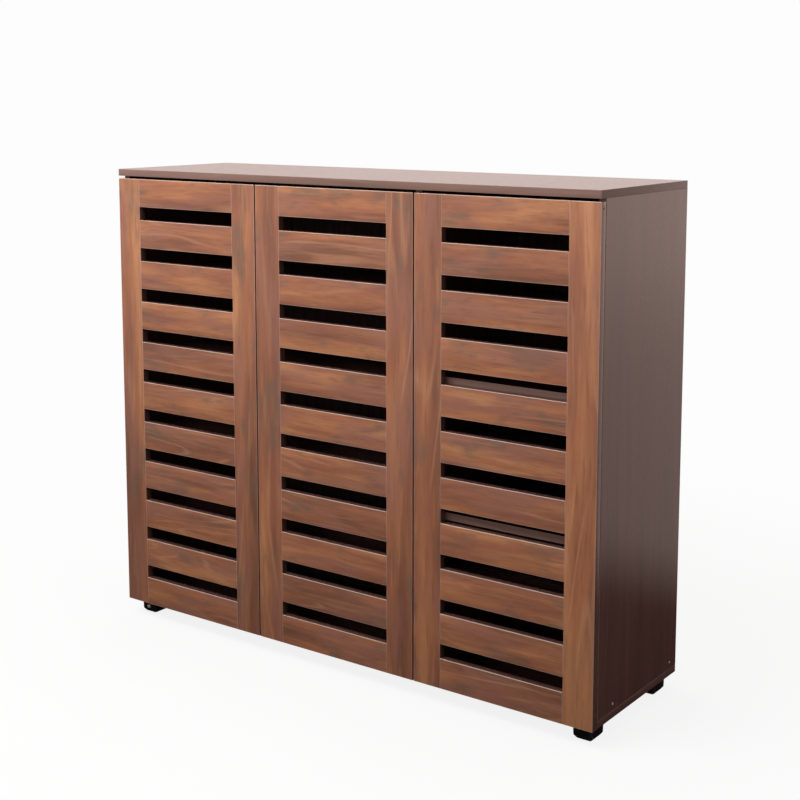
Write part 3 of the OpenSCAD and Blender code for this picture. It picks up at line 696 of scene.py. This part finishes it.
def mark_sides(mesh, box):
    """Marks the faces of a door member between its front and its back, with its bores, whose walls the
    dark side colour paints as shade.
    """
    front, rear = box[0].y + FRONT_ROUNDING, box[1].y - REAR_ROUNDING
    marks = [1.0 if front < face.center.y < rear else 0.0 for face in mesh.polygons]
    mesh.attributes.new("side", "FLOAT", "FACE").data.foreach_set("value", marks)


def make_bar(name, box, material, body, node):
    mesh = door_member(box, name)
    set_grain(mesh, box[0], X, Z, tone=rng.uniform(-1, 1))
    mark_highlight_edges(mesh, UPRIGHT_HIGHLIGHT_SHARE)
    mark_sides(mesh, box)
    piece(name, mesh, material, body, node)


def stile_cutter(door, box):
    """The cup bores and the locating hole of a hinge stile."""
    lo, hi = box
    edge_x, inward = (lo.x, 1) if door == "left" else (hi.x, -1)
    bm = bmesh.new()
    cup_x = edge_x + inward * CUP_FROM_EDGE
    for cup_lo, cup_hi in solids(door + "_door_hinge_cups"):
        cup_z = (cup_lo.z + cup_hi.z) / 2
        start = Vector((cup_x, hi.y + CUT_PAST, cup_z))
        add_cylinder(bm, start, Vector((cup_x, cup_lo.y - CUP_FLOOR_GAP, cup_z)), CUP_BORE_R)
    hole_z, hole_y = hi.z - LOCATING_HOLE_DROP, (lo.y + hi.y) / 2
    start = Vector((edge_x - inward * CUT_PAST, hole_y, hole_z))
    end = Vector((edge_x + inward * LOCATING_HOLE_DEPTH, hole_y, hole_z))
    add_cylinder(bm, start, end, LOCATING_HOLE_R, sides=24)
    return to_mesh(bm, "cutter")


def make_stile(door, side, material):
    node = f"{door}_door_{side}_stile"
    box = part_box(node)
    mesh = door_member(box, node)
    if side == "hinge":
        mesh = carve(mesh, stile_cutter(door, box))
    set_grain(mesh, box[0], Z, X, STILE_SPREAD, STILE_TONES[door, side])
    mark_highlight_edges(mesh, UPRIGHT_HIGHLIGHT_SHARE)
    mark_sides(mesh, box)
    piece(node + "_piece", mesh, material, door + "_door", node)


def make_door(door, material):
    body = door + "_door"
    for side in ("hinge", "free"):
        make_stile(door, side, material)
    for rail in ("top_rail", "bottom_rail"):
        node = f"{door}_door_{rail}"
        make_bar(node + "_piece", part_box(node), material, body, node)
    slats = door + "_door_slats"
    for number, box in enumerate(solids(slats), 1):
        make_bar(f"{door}_door_slat_{number}", box, material, body, slats)


# ---------- feet ----------

# (height, how far the side stands in, corner radius) in mm, from the sole up
FOOT_PROFILE = ((0.0, 7.4, 3.0), (0.3, 6.7, 3.2), (1.2, 5.6, 3.6), (5.6, 1.9, 4.8), (6.8, 1.2, 5.0),
                (8.4, 0.8, 5.2), (33.4, 0.2, 5.2), (34.2, 0.0, 5.2), (35.0, 0.0, 5.2))
FOOT_WELL_DEPTH = 11 * MM
FOOT_WELL_R = 4.5 * MM
CORNER_STEPS = 6


def rounded_ring(bm, centre, half_x, half_y, corner, z):
    """A ring of vertices round a rectangle with round corners."""
    ring = []
    for quarter, (sx, sy) in enumerate(((1, 1), (-1, 1), (-1, -1), (1, -1))):
        for step in range(CORNER_STEPS + 1):
            angle = math.radians(90 * (quarter + step / CORNER_STEPS))
            x = centre.x + sx * (half_x - corner) + corner * math.cos(angle)
            y = centre.y + sy * (half_y - corner) + corner * math.sin(angle)
            ring.append(bm.verts.new((x, y, z)))
    return ring


def make_foot(node, material):
    """A moulded foot: tapered, with its lower edges cut off and softened, and a screw well."""
    lo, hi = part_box(node)
    centre, half = (lo + hi) / 2, (hi - lo) / 2
    bm = bmesh.new()
    rings = [rounded_ring(bm, centre, half.x - inset * MM, half.y - inset * MM, corner * MM,
                          lo.z + up * MM) for up, inset, corner in FOOT_PROFILE]
    for low, high in zip(rings, rings[1:]):
        for i in range(len(low)):
            j = (i + 1) % len(low)
            bm.faces.new((low[i], low[j], high[j], high[i]))
    bm.faces.new(list(reversed(rings[0])))
    bm.faces.new(rings[-1])
    mesh = to_mesh(bm, node)
    well = bmesh.new()
    start = Vector((centre.x, centre.y, lo.z - CUT_PAST))
    add_cylinder(well, start, Vector((centre.x, centre.y, lo.z + FOOT_WELL_DEPTH)), FOOT_WELL_R)
    mesh = carve(mesh, to_mesh(well, "well"))
    mark_highlight_edges(mesh)
    piece(node + "_piece", mesh, material, "cabinet", node)


# ---------- CAD nodes that stay ----------

def dress_nodes(materials):
    """Gives each CAD node that stays in view the detailed material of its slot."""
    slots = {part["node"]: part["material_slot"] for part in frame["record"]["subparts"]}
    for name, node in sorted(frame["nodes"].items()):
        if node.hide_render:
            continue
        node.data.materials.clear()
        node.data.materials.append(materials[slots[name]])


def main():
    bpy.context.scene.view_settings.view_transform = "Standard"
    make_camera()
    make_world()
    make_floor()
    softbox("key", (-0.55, -1.5, 2.5), (0.0, 0.0, 0.75), (1.8, 1.2), 60)
    softbox("top", (0.0, 0.3, 2.6), (0.0, 0.0, 1.0), (1.6, 0.8), 16)
    materials = make_materials()
    make_carcass(materials)
    for door in DOORS:
        make_door(door, materials["walnut_foil"])
    for node in ("foot_front_left", "foot_front_right", "foot_rear_left", "foot_rear_right"):
        make_foot(node, materials["black_plastic"])
    dress_nodes(materials)


main()
